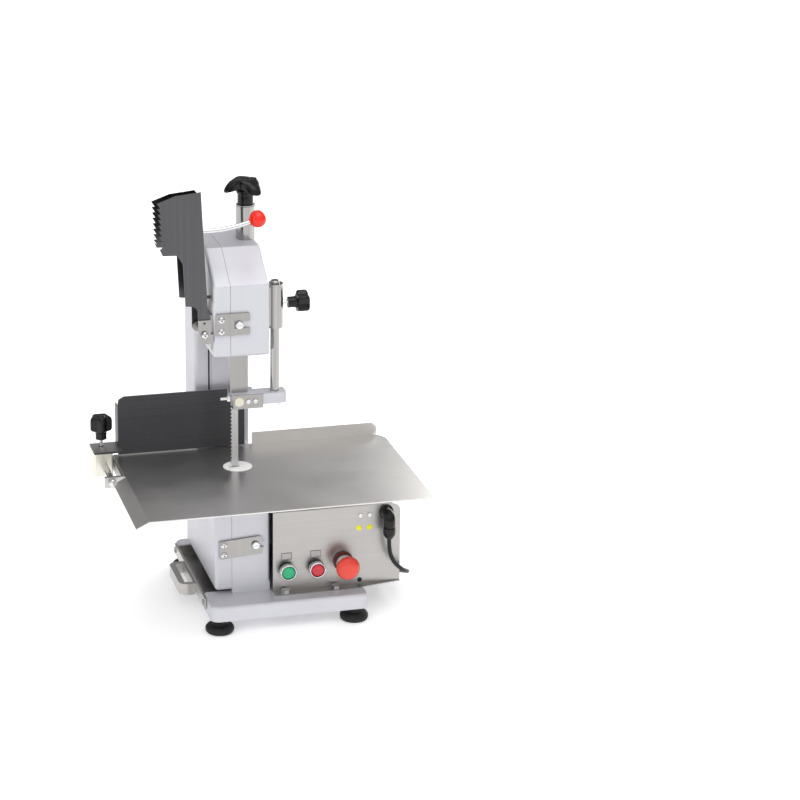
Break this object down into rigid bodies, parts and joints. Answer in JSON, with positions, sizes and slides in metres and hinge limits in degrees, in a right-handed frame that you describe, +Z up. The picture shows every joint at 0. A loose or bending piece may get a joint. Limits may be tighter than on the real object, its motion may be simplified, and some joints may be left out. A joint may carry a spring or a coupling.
{
  "type": "bone saw",
  "caption": "Bench band saw for meat and bone: C-shaped cast frame with hinged door, steel table, guide, fence, pusher, scrap tray, switch box and cord",
  "frame": {"origin": "on the bench between the four feet", "axes": "+Z up; -Y is the operator's front; +X is the feed direction, so the blade's teeth face -X"},
  "size_m": [0.517, 0.551, 0.7361],
  "materials": {
    "cast_paint": "textured silver paint",
    "stainless": "brushed stainless sheet",
    "dark_stainless": "brushed stainless plate, dark reflections",
    "polished_steel": "polished",
    "steel": "machined",
    "blade_steel": "hardened band",
    "wheel_iron": "machined rim",
    "motor_paint": "satin",
    "raw_aluminium": "fine machined",
    "white_plastic": "satin",
    "black_plastic": "gloss",
    "rubber": "matte",
    "cord": "satin sheath",
    "red_ball": "gloss",
    "green_cap": "gloss",
    "red_cap": "gloss",
    "estop_red": "satin",
    "labels": "printed film, blank"
  },
  "bodies": {
    "frame": {"base_plate": "cast_paint", "rubber_feet": "rubber", "frame_fasteners": "steel", "frame_casting": "cast_paint", "frame_hinges": "stainless", "latch_studs": "polished_steel", "slide_rails": "steel", "saw_blade": "blade_steel", "tension_tube": "polished_steel", "tension_spring": "steel", "lower_bearings": "steel", "motor": "motor_paint", "blade_scrapers": "white_plastic", "work_table": "stainless", "table_insert": "white_plastic", "table_brackets": "stainless", "guide_sleeve": "polished_steel", "fence_rail": "polished_steel", "rod_bracket": "stainless", "control_box": "stainless", "box_screws": "stainless", "button_housings": "polished_steel", "switch_gear": "black_plastic", "panel_labels": "labels", "cable_gland": "black_plastic", "power_cord": "cord", "cord_coil": "cord", "mains_plug": "black_plastic"},
    "door": {"door_shell": "cast_paint", "door_gasket": "rubber", "door_hinge_leaves": "stainless", "latch_plates": "stainless", "pusher_bracket": "stainless"},
    "pusher": {"pusher_channel": "dark_stainless", "pusher_handle": "polished_steel", "pusher_ball": "red_ball"},
    "carriage": {"slide_block": "steel", "upper_axle": "steel"},
    "tension_wheel": {"tension_screw": "steel", "tension_knob": "black_plastic"},
    "upper_wheel": {"upper_wheel": "wheel_iron", "wheel_bearings": "steel"},
    "lower_wheel": {"lower_wheel": "wheel_iron", "lower_shaft": "steel"},
    "guide": {"guide_post": "polished_steel", "guide_arm": "cast_paint", "guide_holder": "stainless", "guide_pads": "white_plastic", "guide_screws": "polished_steel", "blade_guard": "stainless"},
    "guide_knob": {"guide_lock_knob": "black_plastic"},
    "fence": {"fence_plate": "dark_stainless", "fence_block": "raw_aluminium"},
    "fence_knob": {"fence_knob": "black_plastic"},
    "tray": {"scrap_tray": "stainless", "tray_handle": "stainless"},
    "start_button": {"start_button": "green_cap"},
    "stop_button": {"stop_button": "red_cap"},
    "estop_stem": {"estop_stem": "estop_red"},
    "estop_head": {"estop_mushroom": "estop_red"}
  },
  "joints": [
    {"name": "door_swing", "type": "hinge", "parent": "frame", "child": "door", "pos_m": [-0.057, 0.141, 0.34], "axis": [0, 0, -1], "range_deg": [0, 110]},
    {"name": "pusher_swing", "type": "hinge", "parent": "door", "child": "pusher", "pos_m": [-0.127, -0.072, 0.502], "axis": [0, -1, 0], "range_deg": [0, 180]},
    {"name": "tension_turn", "type": "hinge", "parent": "frame", "child": "tension_wheel", "pos_m": [-0.034, 0.012, 0.7], "axis": [0, 0, 1], "range_deg": [-1440, 0]},
    {"name": "carriage_slide", "type": "slide", "parent": "frame", "child": "carriage", "axis": [0, 0, 1], "range_m": [-0.006, 0]},
    {"name": "upper_wheel_spin", "type": "hinge", "parent": "carriage", "child": "upper_wheel", "pos_m": [-0.07, 0.012, 0.545], "axis": [1, 0, 0], "continuous": true},
    {"name": "lower_wheel_spin", "type": "hinge", "parent": "frame", "child": "lower_wheel", "pos_m": [-0.07, 0.012, 0.13], "axis": [1, 0, 0], "continuous": true},
    {"name": "guide_slide", "type": "slide", "parent": "frame", "child": "guide", "axis": [0, 0, 1], "range_m": [-0.045, 0.06]},
    {"name": "guide_lock_turn", "type": "hinge", "parent": "frame", "child": "guide_knob", "pos_m": [0.028, -0.076, 0.539], "axis": [1, 0, 0], "range_deg": [-180, 180]},
    {"name": "fence_slide", "type": "slide", "parent": "frame", "child": "fence", "axis": [0, -1, 0], "range_m": [0, 0.06]},
    {"name": "fence_lock_turn", "type": "hinge", "parent": "fence", "child": "fence_knob", "pos_m": [-0.274, 0.044, 0.3], "axis": [0, 0, 1], "range_deg": [-180, 180]},
    {"name": "tray_slide", "type": "slide", "parent": "frame", "child": "tray", "axis": [-1, 0, 0], "range_m": [0, 0.11]},
    {"name": "start_press", "type": "slide", "parent": "frame", "child": "start_button", "axis": [0, 1, 0], "range_m": [0, 0.003], "stiffness_N_per_m": 900},
    {"name": "stop_press", "type": "slide", "parent": "frame", "child": "stop_button", "axis": [0, 1, 0], "range_m": [0, 0.003], "stiffness_N_per_m": 900},
    {"name": "estop_press", "type": "slide", "parent": "frame", "child": "estop_stem", "axis": [0, 1, 0], "range_m": [0, 0.004], "stiffness_N_per_m": 1500},
    {"name": "estop_twist", "type": "hinge", "parent": "estop_stem", "child": "estop_head", "pos_m": [0.102, -0.15, 0.095], "axis": [0, -1, 0], "range_deg": [0, 40], "stiffness_Nm_per_rad": 0.2}
  ],
  "couplings": [
    {"joint": "tension_turn", "follows": "carriage_slide", "rad_per_m": 4184},
    {"joint": "lower_wheel_spin", "follows": "upper_wheel_spin", "ratio": 1}
  ]
}
